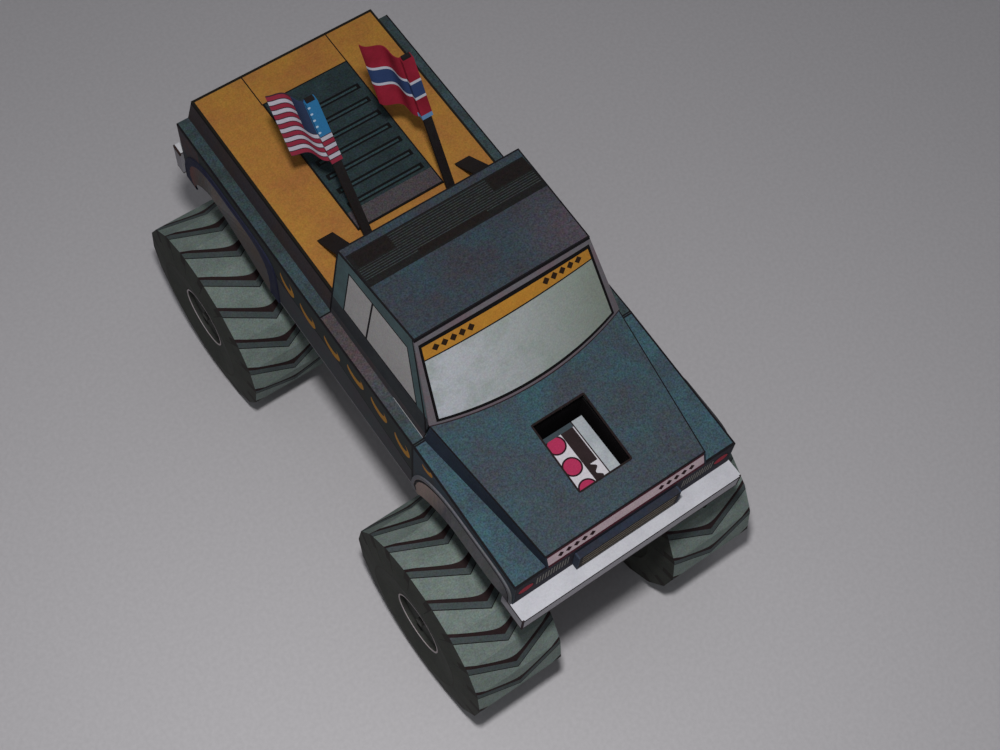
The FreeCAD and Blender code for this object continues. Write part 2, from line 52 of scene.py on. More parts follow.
# %% Set the camera
CAMERA_PLACE = (-0.1055, -0.1435, 0.3950)
AZIMUTH, TILT, ROLL = -41.22, 26.21, 6.65

bpy.ops.object.select_all(action="DESELECT")
bpy.ops.object.camera_add(location=CAMERA_PLACE)
camera = bpy.context.object
camera.name = "desk_camera"
azimuth = Matrix.Rotation(math.radians(AZIMUTH), 4, "Z")
tilt = Matrix.Rotation(math.radians(TILT), 4, "X")
roll = Matrix.Rotation(math.radians(ROLL), 4, "Z")
camera.rotation_euler = (azimuth @ tilt @ roll).to_euler()
camera.data.lens = 56.29
camera.data.clip_start = 0.01
bpy.context.scene.camera = camera
print("camera", [round(value, 3) for value in camera.location], "lens", camera.data.lens)

# %% [markdown]
# ## One function for nodes, one for colours
# A material is a tree of nodes. `add` makes a node, fills its inputs in order or by name, and
# hands back its first output, so that trees read like sums. Colours are written as the hex values
# that a paint program shows, and `linear` turns them to the linear light that the shader wants.

# %% Helpers for materials
def linear(code):
    """Turns an sRGB hex colour into linear red, green, blue and an alpha of one."""
    values = [int(code[place:place + 2], 16) / 255 for place in (1, 3, 5)]
    return (*(v / 12.92 if v <= 0.04045 else ((v + 0.055) / 1.055) ** 2.4 for v in values), 1.0)


def add(tree, kind, *inputs, **named):
    """Adds a node. Capitalised names are inputs, the others are settings of the node."""
    made = tree.nodes.new("ShaderNode" + kind)
    for name in named:
        if name[0].islower():
            setattr(made, name, named[name])
    wanted = list(zip(made.inputs, inputs))
    wanted += [(made.inputs[name.replace("_", " ")], named[name]) for name in named if name[0].isupper()]
    for socket, value in wanted:
        if isinstance(value, bpy.types.NodeSocket):
            tree.links.new(value, socket)
        elif value is not None:
            socket.default_value = linear(value) if isinstance(value, str) else value
    return next(output for output in made.outputs if output.enabled)


print("white card is", [round(value, 2) for value in linear("#e2e2e4")])

# %% [markdown]
# ## Shapes of ink
# A printed shape is a mask that is one inside it and zero outside. Five helpers draw them all, in
# millimetres: `block` for what lies between limits, `rule` for a straight line, `stamp` for an
# oval or a block with any turn, `diamonds` for a row of them, and `either` to join shapes. A line
# along a fold is printed across it, so half of its width falls on each sheet. Where a shape runs
# off its sheet, its limit is simply FAR away.

# %% Helpers for printed shapes
FAR = 200.0


def block(tree, *limits):
    """Mask of where each value lies between its two limits."""
    mask = 1.0
    for value, low, high in limits:
        inside = add(tree, "Math", value, (low + high) / 2, (high - low) / 2, operation="COMPARE")
        mask = add(tree, "Math", mask, inside, operation="MULTIPLY")
    return mask


def rule(tree, value, middle, width):
    """Mask of a straight line with this middle and width."""
    return block(tree, (value, middle - width / 2, middle + width / 2))


def stamp(tree, u, v, centre, half, turn=0.0, roundness=2.0):
    """Mask of an oval (roundness 2) or a block (roundness 16) on the sheet, turned by degrees."""
    flat = add(tree, "CombineXYZ", u, v, 0.0)
    local = add(tree, "Mapping", flat, (*centre, 0), (0, 0, math.radians(turn)), (*half, 1),
                vector_type="TEXTURE")
    powers = []
    for value in add(tree, "SeparateXYZ", local).node.outputs[:2]:
        value = add(tree, "Math", value, operation="ABSOLUTE")
        powers.append(add(tree, "Math", value, roundness, operation="POWER"))
    total = add(tree, "Math", *powers, operation="ADD")
    return add(tree, "Math", total, 1.0, operation="LESS_THAN")


def diamonds(tree, u, v, centre, pitch, half):
    """Mask of five diamonds in a row about a centre, and of five more in its mirror place."""
    along = add(tree, "Math", u, operation="ABSOLUTE")
    along = add(tree, "Math", along, centre[0], operation="SUBTRACT")
    row = rule(tree, along, 0.0, 5 * pitch)
    along = add(tree, "Math", along, pitch / 2, -pitch / 2, operation="WRAP")
    diamond = stamp(tree, along, v, (0, centre[1]), half, roundness=1.0)
    return add(tree, "Math", row, diamond, operation="MULTIPLY")


def either(tree, *masks):
    """Mask of several shapes together."""
    together = masks[0]
    for mask in masks[1:]:
        together = add(tree, "Math", together, mask, operation="MAXIMUM")
    return together


print("helpers draw shapes of ink, with open limits", FAR, "mm away")

# %% [markdown]
# ## Ink on card
# The ink of a home printer isn't even: it drifts in hue over a few centimetres, and its dots show
# as a fine speckle. `card` starts such a material, `drifting` is an ink that wanders between two
# hues, and `finish_card` adds the dots and the faint tooth of the paper. Such ink is nearly matt.
# The real dots are about 0.1 mm wide, too fine to show here, so they are drawn as 0.4 mm clumps,
# whose hue varies over 0.9 mm. The paper's fibres are drawn 0.3 mm wide, for the same reason, and
# their height is given in metres, as the model is.

# %% Helpers for print
CLUMPS_PER_MM = 2.6
HUES_PER_MM = 1.1
FIBRES_PER_MM = 3.5
FIBRE_HEIGHT = 0.0001
MATT_GLOSS = 0.1
UNEVEN = 0.06


def card(name):
    """Starts a material: its tree, the place on the model in millimetres, and the distance
    from the middle plane, for a print that is the same left and right."""
    material = bpy.data.materials.new(name)
    material.use_nodes = True
    tree = material.node_tree
    place = add(tree, "TexCoord").node.outputs["Object"]
    place = add(tree, "VectorMath", place, (1000, 1000, 1000), operation="MULTIPLY")
    x, y, z = add(tree, "SeparateXYZ", place).node.outputs
    return material, tree, place, x, y, z, add(tree, "Math", x, operation="ABSOLUTE")


def drifting(tree, place, main, drift, size):
    """An ink whose hue wanders towards another over patches of this size in millimetres."""
    patches = add(tree, "TexNoise", Vector=place, Scale=1 / size, Detail=3.0, Roughness=0.6)
    patches = add(tree, "MapRange", patches, 0.38, 0.68, 0.0, 1.0)
    return add(tree, "MixRGB", patches, main, drift)


def finish_card(tree, ink, place, dots=0.42, roughness=0.75):
    """Adds the printer's dots and the paper's tooth to the printed colours."""
    shader = tree.nodes["Principled BSDF"]
    dark = add(tree, "TexNoise", Vector=place, Scale=CLUMPS_PER_MM, Detail=2.0, Roughness=0.7)
    dark = add(tree, "MapRange", dark, 0.30, 0.70, 1.0 - dots, 1.0 + dots)
    dotted = add(tree, "MixRGB", 1.0, ink, dark, blend_type="MULTIPLY")
    hue = add(tree, "TexNoise", Vector=place, Scale=HUES_PER_MM, Detail=2.0).node.outputs["Color"]
    dotted = add(tree, "MixRGB", dots * 0.8, dotted, hue, blend_type="OVERLAY")
    tree.links.new(dotted, shader.inputs["Base Color"])
    rough = add(tree, "MapRange", dark, 0.6, 1.4, roughness - UNEVEN, roughness + UNEVEN)
    tree.links.new(rough, shader.inputs["Roughness"])
    shader.inputs["Specular IOR Level"].default_value = MATT_GLOSS
    fibres = add(tree, "TexNoise", Vector=place, Scale=FIBRES_PER_MM, Detail=3.0)
    bump = add(tree, "Bump", Strength=0.12, Distance=FIBRE_HEIGHT, Height=fibres)
    tree.links.new(bump, shader.inputs["Normal"])


def dress(material, *names):
    """Gives CAD nodes this material as their only slot."""
    for name in names:
        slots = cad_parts[name].data.materials
        slots.clear()
        slots.append(material)


def mm(node):
    """Lowest and highest corners of a CAD node in millimetres."""
    return [corner * 1000 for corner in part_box(node)]


print("hood spans", [[round(value, 1) for value in corner] for corner in mm("hood_panel")])

# %% [markdown]
# ## Roof
# The roof is a plain slate-blue sheet with a black ribbed band behind its middle. The ribs are
# printed as hair-fine light lines, with three plain blocks among them, so one repeating stripe
# and three stamps draw the whole band. Towards one corner the ink turns to a dusty pink.

# %% Print the roof
INK_LINE = "#171518"
RIB_PITCH, RIB_SHARE = 0.62, 0.3
BAND_FRONT, BAND_REAR = -5.0, 4.5
RIBS_FRONT, RIBS_STEP, RIBS_REAR = -3.3, 0.1, 3.9
PINK_CORNER = (22, -17, 108)
low, high = mm("roof_panel")

material, tree, place, x, y, _, out = card("printed_card_roof")
ink = drifting(tree, place, "#3b3c43", "#35464f", size=9.0)
from_corner = add(tree, "VectorMath", place, PINK_CORNER, operation="DISTANCE")
pink = add(tree, "MapRange", from_corner, 2.0, 15.0, 0.8, 0.0)
ink = add(tree, "MixRGB", pink, ink, drifting(tree, place, "#4d4850", "#57474f", size=4.0))
band = block(tree, (y, BAND_FRONT, BAND_REAR), (out, -FAR, 23.2))
ink = add(tree, "MixRGB", band, ink, "#1d1c1c")
ribs = add(tree, "Math", add(tree, "Math", y, 1 / RIB_PITCH, operation="MULTIPLY"), operation="FRACT")
wide = block(tree, (ribs, 0.0, RIB_SHARE), (y, RIBS_FRONT, RIBS_STEP), (out, -FAR, 22.8))
narrow = block(tree, (ribs, 0.0, RIB_SHARE), (y, RIBS_STEP, RIBS_REAR), (x, -12.8, 12.6))
ink = add(tree, "MixRGB", either(tree, wide, narrow), ink, "#3a4040")
# Each plain block: its centre and half its size, across and along.
for centre, half in (((-17.6, 2.3), (4.5, 1.8)), ((18.0, 2.3), (5.1, 1.8)), ((-0.6, -3.5), (9.0, 0.9))):
    ink = add(tree, "MixRGB", stamp(tree, x, y, centre, half, roundness=16), ink, "#1d1817")
folds = either(tree, rule(tree, y, low.y, 0.8), rule(tree, y, high.y, 0.8))
ink = add(tree, "MixRGB", folds, ink, INK_LINE)
# Half the roof is 23.53 mm wide at the middle of the model, and a little more behind it.
half_roof = add(tree, "Math", y, 0.0396, 23.53, operation="MULTIPLY_ADD")
from_edge = add(tree, "Math", half_roof, out, operation="SUBTRACT")
ink = add(tree, "MixRGB", block(tree, (from_edge, -FAR, 0.35)), ink, INK_LINE)
finish_card(tree, ink, place)
dress(material, "roof_panel")
print("roof printed, with ribs", RIB_PITCH, "mm apart")

# %% [markdown]
# ## Windshield
# One sheet carries a lilac-grey frame, a thick black line, a yellow sun strip and pale glass that
# runs from lavender on one side to green-grey on the other. The sun strip carries two rows of
# plain diamonds where a name would be. The glass follows the bowed foot of the sheet.

# %% Find the foot and the sides of the glass
high = mm("windshield")[1]
material, tree, place, x, _, z, out = card("printed_card_windshield")
# The foot is 87.72 mm up in the middle and bows up by 0.38 mm towards the corners.
bow = add(tree, "Math", add(tree, "Math", x, 1 / high.x, operation="MULTIPLY"), 2.0, operation="POWER")
foot = add(tree, "Math", bow, 0.38, 87.72, operation="MULTIPLY_ADD")
above_foot = add(tree, "Math", z, foot, operation="SUBTRACT")
# The sides lean in by 0.105 mm for each millimetre of height.
half_glass = add(tree, "Math", z, -0.105, 32.75, operation="MULTIPLY_ADD")
from_side = add(tree, "Math", half_glass, out, operation="SUBTRACT")


def pane(above, start, top, side):
    """Mask of what starts this far above a line, under a top and in from the leaning sides."""
    return block(tree, (above, start, FAR), (z, -FAR, top), (from_side, side, FAR))


print("the glass stands on", round(high.x * 2, 1), "mm of cowl")

# %% Print the windshield
GLASS_TOP = 105.6
HAZE_SIZE = 6.25

ink = drifting(tree, place, "#6b686d", "#705f66", size=5.0)
ink = add(tree, "MixRGB", rule(tree, z, high.z, 0.6), ink, INK_LINE)
ink = add(tree, "MixRGB", block(tree, (above_foot, -FAR, 0.3)), ink, "#33262b")
ink = add(tree, "MixRGB", pane(above_foot, 0.75, GLASS_TOP + 0.8, -0.55), ink, "#0f0d0e")
across = add(tree, "MapRange", x, -22.0, 20.0, 0.0, 1.0)
glass = add(tree, "MixRGB", across, "#bcbfc6", "#8b938a")
haze = add(tree, "TexNoise", Vector=place, Scale=1 / HAZE_SIZE, Detail=4.0, Roughness=0.7)
haze = add(tree, "MapRange", haze, 0.45, 0.65, 0.0, 0.55)
glass = add(tree, "MixRGB", haze, glass, "#8f9c93")
ink = add(tree, "MixRGB", pane(above_foot, 1.35, GLASS_TOP, 0.1), ink, glass)
# The sun strip starts 102.75 mm up, and rises a little to one side.
strip_foot = add(tree, "Math", x, 0.011, 102.75, operation="MULTIPLY_ADD")
above_strip = add(tree, "Math", z, strip_foot, operation="SUBTRACT")
ink = add(tree, "MixRGB", pane(above_strip, 0.0, GLASS_TOP, 0.1), ink, INK_LINE)
yellow = drifting(tree, place, "#b98232", "#b07a30", size=6.0)
ink = add(tree, "MixRGB", pane(above_strip, 0.28, GLASS_TOP, 0.1), ink, yellow)
marks = diamonds(tree, x, above_strip, centre=(14.2, 1.75), pitch=2.2, half=(0.95, 0.8))
ink = add(tree, "MixRGB", marks, ink, "#2a1c12")
finish_card(tree, ink, place, dots=0.12, roughness=0.6)
dress(material, "windshield")
print("windshield printed, with glass up to", GLASS_TOP, "mm")

# %% [markdown]
# ## Hood, fenders and shoulders
# These are the largest plain areas. Their slate teal drifts towards blue and, in places, towards a
# dusty pink, and fine black lines follow the folds and the edge of the opening.

# %% Print the hood and its walls
OPENING_MIDDLE = (0.0, -52.2)
OPENING_HALF = (6.7, 8.6)
RIM = 0.55
low = mm("hood_panel")[0]

material, tree, place, x, y, _, out = card("printed_card_hood")
ink = drifting(tree, place, "#41474f", "#3a565f", size=10.0)
front = add(tree, "MapRange", y, -38.0, -70.0, 0.0, 0.6)
ink = add(tree, "MixRGB", front, ink, drifting(tree, place, "#43484f", "#424f57", size=6.0))
# Half the hood would be 29.18 mm wide at the middle of the model, and it narrows to the front.
half_hood = add(tree, "Math", y, 0.1102, 29.18, operation="MULTIPLY_ADD")
from_edge = add(tree, "Math", half_hood, out, operation="SUBTRACT")
lines = either(tree, rule(tree, y, low.y, 0.6), block(tree, (from_edge, -FAR, 0.3)))
ink = add(tree, "MixRGB", lines, ink, INK_LINE)
rim_half = [half + RIM for half in OPENING_HALF]
rim = stamp(tree, x, y, OPENING_MIDDLE, rim_half, roundness=40)
ink = add(tree, "MixRGB", rim, ink, "#231a1a")
finish_card(tree, ink, place)
dress(material, "hood_panel")

material, tree, place, *_ = card("printed_card_navy_wall")
ink = drifting(tree, place, "#262c37", "#2c3440", size=8.0)
finish_card(tree, ink, place, dots=0.2)
dress(material, "hood_walls")
print("hood printed, with a rim of", RIM, "mm round its opening")

# %% Print the fenders and shoulders
low, high = mm("fender_tops")
material, tree, place, _, y, _, out = card("printed_card_fender")
ink = drifting(tree, place, "#40505a", "#41606a", size=6.0)
folds = rule(tree, out, high.x, 0.9), rule(tree, y, low.y, 1.1), rule(tree, y, high.y, 0.8)
ink = add(tree, "MixRGB", either(tree, *folds), ink, INK_LINE)
finish_card(tree, ink, place)
dress(material, "fender_tops")

CAB_FRONT, CAB_REAR = -31.3, 6.3
high = mm("shoulder_strips")[1]
material, tree, place, _, y, _, out = card("printed_card_shoulder")
ink = drifting(tree, place, "#3a4546", "#42545b", size=6.0)
pink = add(tree, "MapRange", y, -28.0, -6.0, 0.0, 1.0)
pink = add(tree, "Math", pink, block(tree, (y, CAB_FRONT, CAB_REAR)), operation="MULTIPLY")
ink = add(tree, "MixRGB", pink, ink, drifting(tree, place, "#584b4d", "#4d474a", size=5.0))
lines = rule(tree, y, CAB_FRONT, 0.4), rule(tree, y, CAB_REAR, 0.4), rule(tree, out, high.x, 0.7)
ink = add(tree, "MixRGB", either(tree, *lines), ink, INK_LINE)
finish_card(tree, ink, place)
dress(material, "shoulder_strips")
print("fenders and shoulders printed, the cab's lines", CAB_REAR - CAB_FRONT, "mm apart")

# %% [markdown]
# ## Bed cover and louvres
# The cover is mottled ochre with a black outline. The louvre panel lies on it: seven slots are
# printed on teal, each two black bars with a strip between them that is closed at both ends.

# %% Print the bed cover
high = mm("bed_cover")[1]
panel_low, panel_high = mm("louvre_panel")
material, tree, place, _, y, _, out = card("printed_card_bed_cover")
ink = drifting(tree, place, "#b07e39", "#a66f3b", size=11.0)
outline = either(tree, rule(tree, out, high.x, 1.2), rule(tree, y, high.y, 1.4))
ink = add(tree, "MixRGB", outline, ink, "#1f1c16")
hairline = rule(tree, out, panel_high.x, 0.3)
behind_panel = block(tree, (y, panel_high.y, FAR))
hairline = add(tree, "Math", hairline, behind_panel, operation="MULTIPLY")
ink = add(tree, "MixRGB", hairline, ink, "#1f1812")
finish_card(tree, ink, place, dots=0.16)
dress(material, "bed_cover")

high = mm("bed_walls")[1]
material, tree, place, _, _, z, _ = card("printed_card_bed_walls")
ink = drifting(tree, place, "#3c3434", "#39353a", size=9.0)
ink = add(tree, "MixRGB", rule(tree, z, high.z, 0.8), ink, INK_LINE)
finish_card(tree, ink, place, dots=0.2)
dress(material, "bed_walls", "bed_rear_wall")
print("bed cover and walls printed, the walls up to", round(high.z, 1), "mm")

# %% Print the louvres
FIRST_SLOT, SLOT_PITCH = 24.5, 4.5
SLOTS = (23.0, 53.5)
material, tree, place, x, y, _, out = card("printed_card_louvres")
ink = drifting(tree, place, "#283335", "#2f3e41", size=6.0)
plain_front = block(tree, (y, -FAR, 22.9))
ink = add(tree, "MixRGB", plain_front, ink, drifting(tree, place, "#4c494b", "#4d4449", size=3.0))
slot = add(tree, "Math", y, FIRST_SLOT, operation="SUBTRACT")
slot = add(tree, "Math", slot, SLOT_PITCH / 2, -SLOT_PITCH / 2, operation="WRAP")
# The bars, then the strip between them: limits across, limits along a slot, and the ink.
for across, along, colour in (((-10.2, 10.3), (-0.85, 0.8), "#0e0d0e"),
                              ((-9.4, 9.5), (-0.35, 0.2), "#33464a")):
    shape = block(tree, (y, *SLOTS), (x, *across), (slot, *along))
    ink = add(tree, "MixRGB", shape, ink, colour)
outline = (rule(tree, out, panel_high.x, 0.7), rule(tree, y, panel_low.y, 0.8),
           rule(tree, y, panel_high.y, 0.7))
ink = add(tree, "MixRGB", either(tree, *outline), ink, "#131213")
finish_card(tree, ink, place)
dress(material, "louvre_panel")
print("louvres printed, seven slots", SLOT_PITCH, "mm apart")

# %% [markdown]
# ## Cab
# Each side carries two light grey windows in a teal frame, with black lines round the glass and
# along the folds. The windows are blocks, and the front one's edge leans with the pillar. The
# print is darker under the windows, with a short white mark at the foot of the pillar.

# %% Find the windows of the cab
SILL, HEAD = 90.0, 103.4
REAR_WINDOW = (-6.6, 1.7)
FRONT_WINDOW_END = -7.2
high = mm("cab_side_right")[1]
material, tree, place, _, y, z, _ = card("printed_card_cab_side")
# The pillar leans back by 0.48 mm for each millimetre of height.
pillar = add(tree, "Math", z, 0.48, -69.1, operation="MULTIPLY_ADD")
from_pillar = add(tree, "Math", y, pillar, operation="SUBTRACT")


def windows(margin):
    """Mask of both windows, grown by a margin in millimetres."""
    rear = block(tree, (y, REAR_WINDOW[0] - margin, REAR_WINDOW[1] + margin))
    front = block(tree, (y, -FAR, FRONT_WINDOW_END + margin), (from_pillar, -margin, FAR))
    height = block(tree, (z, SILL - margin, HEAD + margin))
    return add(tree, "Math", either(tree, rear, front), height, operation="MULTIPLY")


print("windows are", round(HEAD - SILL, 1), "mm high")

# %% Print the cab
WHITE_MARK = (-31.0, -19.5)

ink = drifting(tree, place, "#48585b", "#4f6467", size=7.0)
# Bands under the windows, each with its top edge, two hues and the size of their patches.
for top, main, drift, size in ((89.6, "#303236", "#383b3d", 6.0), (84.9, "#463f42", "#3f4346", 4.0)):
    ink = add(tree, "MixRGB", block(tree, (z, -FAR, top)), ink, drifting(tree, place, main, drift, size))
ink = add(tree, "MixRGB", block(tree, (z, -FAR, 83.25), (y, *WHITE_MARK)), ink, "#d6d2d2")
folds = either(tree, block(tree, (from_pillar, -3.4, -2.75)), rule(tree, y, high.y, 1.2))
ink = add(tree, "MixRGB", folds, ink, INK_LINE)
ink = add(tree, "MixRGB", windows(0.4), ink, INK_LINE)
ink = add(tree, "MixRGB", windows(0.0), ink, drifting(tree, place, "#a7a4a4", "#aba9a8", size=6.0))
finish_card(tree, ink, place, dots=0.12)
dress(material, "cab_side_right", "cab_side_left")

material, tree, place, x, _, z, _ = card("printed_card_cab_rear")
ink = drifting(tree, place, "#3a4144", "#434d50", size=7.0)
for margin, colour in ((0.6, INK_LINE), (0.0, "#a3a3a2")):
    window = stamp(tree, x, z, (0, 97.5), (18.1 + margin, 5.8 + margin), roundness=16)
    ink = add(tree, "MixRGB", window, ink, colour)
finish_card(tree, ink, place, dots=0.15)
dress(material, "cab_rear_wall")
print("cab printed, with its rear fold at", round(high.y, 1), "mm")

# %% [markdown]
# ## Side panels
# The sides are dark slate above a thin slanting line and lilac-grey below it, with a pale cut edge
# along the sill. Where a name would be printed, this model has a row of plain golden crescents. The
# tail has a red lamp at each end.

# %% Print the sides
low, high = mm("side_panel_right")
FRONT_SHEET = -31.4
WAIST = 73.3
TAIL_LAMP_OUT, TAIL_LAMP_UP = (23.5, 28.0), (73.5, 79.0)

material, tree, place, _, y, z, out = card("printed_card_side")
ink = drifting(tree, place, "#2e302f", "#2b3334", size=8.0)
# The border between the inks is level at the rear, and falls by 0.145 mm a millimetre ahead.
border = add(tree, "Math", y, 0.145, WAIST, operation="MULTIPLY_ADD")
border = add(tree, "Math", border, WAIST, operation="MINIMUM")
above = add(tree, "Math", z, border, operation="SUBTRACT")
lower = block(tree, (above, -FAR, 0.0), (y, FRONT_SHEET, FAR))
ink = add(tree, "MixRGB", lower, ink, drifting(tree, place, "#403d42", "#3c4244", size=6.0))
ink = add(tree, "MixRGB", block(tree, (above, -0.25, 0.25), (y, FRONT_SHEET, 28.0)), ink, INK_LINE)
nose_end = block(tree, (y, -FAR, FRONT_SHEET))
ink = add(tree, "MixRGB", nose_end, ink, drifting(tree, place, "#33414b", "#3b3c40", size=5.0))
tail_end = block(tree, (y, 60.0, FAR), (z, 73.0, FAR))
ink = add(tree, "MixRGB", tail_end, ink, drifting(tree, place, "#4b3a3c", "#3a3f45", size=3.0))
lines = either(tree, rule(tree, z, high.z, 0.9), rule(tree, y, FRONT_SHEET, 0.8))
ink = add(tree, "MixRGB", lines, ink, INK_LINE)
ink = add(tree, "MixRGB", rule(tree, z, low.z, 0.7), ink, "#8d8b90")
tail_lamps = block(tree, (y, high.y - 0.5, FAR), (out, *TAIL_LAMP_OUT), (z, *TAIL_LAMP_UP))
ink = add(tree, "MixRGB", tail_lamps, ink, "#8c2632")
print("sides printed, with their line", WAIST, "mm up")

# %% Print the crescents
# Each crescent: its place along and up, its turn in degrees and its share of the full size.
CRESCENTS = ((20.6, 77.0, 50, 1.0), (11.9, 75.4, 27, 1.0), (1.5, 75.9, 20, 1.0), (-8.4, 77.9, 12, 1.0),
             (-18.0, 77.6, 24, 1.0), (-27.3, 75.7, 42, 1.0), (-37.2, 80.6, -20, 0.6))

for mark_y, mark_z, turn, share in CRESCENTS:
    outer = stamp(tree, y, z, (mark_y, mark_z), (3.4 * share, 2.5 * share), turn)
    inner_middle = (mark_y + 0.5, mark_z + 1.5 * share)
    inner = stamp(tree, y, z, inner_middle, (2.8 * share, 1.7 * share), turn)
    crescent = add(tree, "Math", outer, inner, operation="SUBTRACT", use_clamp=True)
    ink = add(tree, "MixRGB", crescent, ink, "#b07c30")
finish_card(tree, ink, place, dots=0.2)
dress(material, "side_panel_right", "side_panel_left", "tail_panel")
side_print = material
print(len(CRESCENTS), "crescents printed on each side")

# %% [markdown]
# ## Flap under the bed's rear wall
# A narrow glue flap closes the joint between the tail panel and the bed's rear wall, where light
# would show through from behind. It is a cube, sized and placed in edit mode. The CAD's boxes are
# in metres, and so is the small length by which it is tucked into the sheets that it joins.

# %% Add the flap
TUCK = 0.00005
_, tail_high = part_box("tail_panel")
wall_low, wall_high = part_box("bed_rear_wall")
low = Vector((wall_low.x, wall_low.y, tail_high.z - 2 * TUCK))
high = Vector((wall_high.x, tail_high.y - TUCK, wall_low.z + 2 * TUCK))
bpy.ops.object.select_all(action="DESELECT")
bpy.ops.mesh.primitive_cube_add(size=1.0, location=(0, 0, 0))
flap = bpy.context.object
flap.name = "tail_flap"
bpy.ops.object.mode_set(mode="EDIT")
bpy.ops.mesh.select_all(action="SELECT")
bpy.ops.transform.resize(value=high - low)
bpy.ops.transform.translate(value=(high + low) / 2)
bpy.ops.object.mode_set(mode="OBJECT")
flap.data.materials.append(side_print)
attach(flap, "truck")
print("flap of", [round(value * 1000, 2) for value in high - low], "mm")

# %% [markdown]
# ## Nose
# The nose is printed navy, with hatched lamps and a red lamp at each end. A shallow box carries
# the grille's tan bars. The lip over it is pale pink between two crimson lines, and carries two
# rows of plain diamonds where a name would be.

# %% Print the nose
HATCH_PITCH, HATCH_SHARE = 0.75, 0.42
LAMP_OUT, LAMP_UP = (15.4, 24.4), (74.6, 78.6)
END_LAMP = (26.8, 76.4)
high = mm("front_panel")[1]
material, tree, place, x, _, z, out = card("printed_card_nose")
ink = drifting(tree, place, "#2b2b34", "#33303a", size=6.0)
lamps = block(tree, (out, *LAMP_OUT), (z, *LAMP_UP))
ink = add(tree, "MixRGB", lamps, ink, "#343237")
hatch = add(tree, "Math", x, 1 / HATCH_PITCH, operation="MULTIPLY")
hatch = add(tree, "Math", hatch, operation="FRACT")
hatch = add(tree, "Math", lamps, block(tree, (hatch, 0.0, HATCH_SHARE)), operation="MULTIPLY")
ink = add(tree, "MixRGB", hatch, ink, "#8d8a83")
for half, colour in (((2.3, 1.9), INK_LINE), ((1.9, 1.5), "#b23243")):
    ink = add(tree, "MixRGB", stamp(tree, out, z, END_LAMP, half), ink, colour)
ink = add(tree, "MixRGB", rule(tree, out, high.x, 0.4), ink, INK_LINE)
finish_card(tree, ink, place, dots=0.2)
dress(material, "front_panel")
print("nose printed, hatched every", HATCH_PITCH, "mm")

# %% Print the grille and the lip
BAR_PITCH, BAR_SHARE = 1.6, 0.42
BARS_UP, TOP_LINE = (72.4, 77.4), (77.6, 78.1)
high = mm("grille_box")[1]
material, tree, place, _, _, z, out = card("printed_card_grille")
ink = drifting(tree, place, "#292423", "#2e2928", size=6.0)
bars = add(tree, "Math", add(tree, "Math", z, 1 / BAR_PITCH, operation="MULTIPLY"), operation="FRACT")
bars = block(tree, (bars, 0.0, BAR_SHARE), (out, -FAR, 12.8), (z, *BARS_UP))
ink = add(tree, "MixRGB", bars, ink, "#8a7f6c")
ink = add(tree, "MixRGB", block(tree, (z, *TOP_LINE)), ink, INK_LINE)
top = block(tree, (z, TOP_LINE[1], FAR))
ink = add(tree, "MixRGB", top, ink, drifting(tree, place, "#2c3342", "#32323a", size=4.0))
ink = add(tree, "MixRGB", rule(tree, out, high.x, 0.8), ink, "#3a4252")
finish_card(tree, ink, place, dots=0.2)
dress(material, "grille_box")

low, high = mm("hood_lip")
material, tree, place, x, _, z, _ = card("printed_card_lip")
ink = drifting(tree, place, "#cdb7be", "#c2aab2", size=6.0)
folds = either(tree, rule(tree, z, low.z, 1.4), rule(tree, z, high.z, 1.0))
ink = add(tree, "MixRGB", folds, ink, "#4d1f2a")
marks = diamonds(tree, x, z, centre=(13.5, 82.6), pitch=2.1, half=(0.85, 0.75))
ink = add(tree, "MixRGB", marks, ink, "#2a1519")
finish_card(tree, ink, place, dots=0.12)
dress(material, "hood_lip")
print("grille and lip printed, the bars", BAR_PITCH, "mm apart")

# %% [markdown]
# ## Bumpers
# The bumpers are bare white card, with painted shade by how light falls on each face: the front
# bumper's front face is a little grey and its end plates are grey, and the rear bumper is grey
# below its white top and lighter rear face. A brown-black line runs along each fold.

# %% Print the bumpers
TOP_SKIN = 0.03
low, high = mm("front_bumper")
under_top = high.z - TOP_SKIN
material, tree, place, _, y, z, out = card("card_bumper_with_painted_shade")
ink = drifting(tree, place, "#cfcfd6", "#c6c6cd", size=6.0)
# Painted shade: the front face is a little grey, and the end plates below the top are grey.
ink = add(tree, "MixRGB", block(tree, (y, -FAR, low.y + 0.2), (z, -FAR, under_top)), ink, "#b7b5bb")
ink = add(tree, "MixRGB", block(tree, (out, high.x - 0.4, FAR), (z, -FAR, under_top)), ink, "#9a989e")
lines = (rule(tree, z, low.z, 1.1), block(tree, (z, high.z - 1.0, under_top)),
         block(tree, (out, high.x - 0.5, FAR), (y, -FAR, low.y + 0.3)))
ink = add(tree, "MixRGB", either(tree, *lines), ink, "#33262a")
finish_card(tree, ink, place, dots=0.06)
dress(material, "front_bumper")

low, high = mm("rear_bumper")
under_top = high.z - TOP_SKIN
material, tree, place, _, y, z, out = card("card_rear_bumper_with_painted_shade")
# Painted shade: the rear bumper is grey all over, with a white top and a lighter rear face.
ink = drifting(tree, place, "#9a989e", "#8f8c90", size=6.0)
ink = add(tree, "MixRGB", block(tree, (z, under_top, FAR)), ink, "#d8d8dc")
ink = add(tree, "MixRGB", block(tree, (y, high.y - 0.2, FAR)), ink, "#c9c9ce")
lines = (rule(tree, z, low.z, 0.8), block(tree, (z, high.z - 0.4, under_top)),
         block(tree, (out, high.x - 0.4, FAR), (z, high.z - 1.0, FAR)))
ink = add(tree, "MixRGB", either(tree, *lines), ink, "#3a2a28")
finish_card(tree, ink, place, dots=0.08)
dress(material, "rear_bumper")
print("bumpers printed, the rear one up to", round(high.z, 1), "mm")
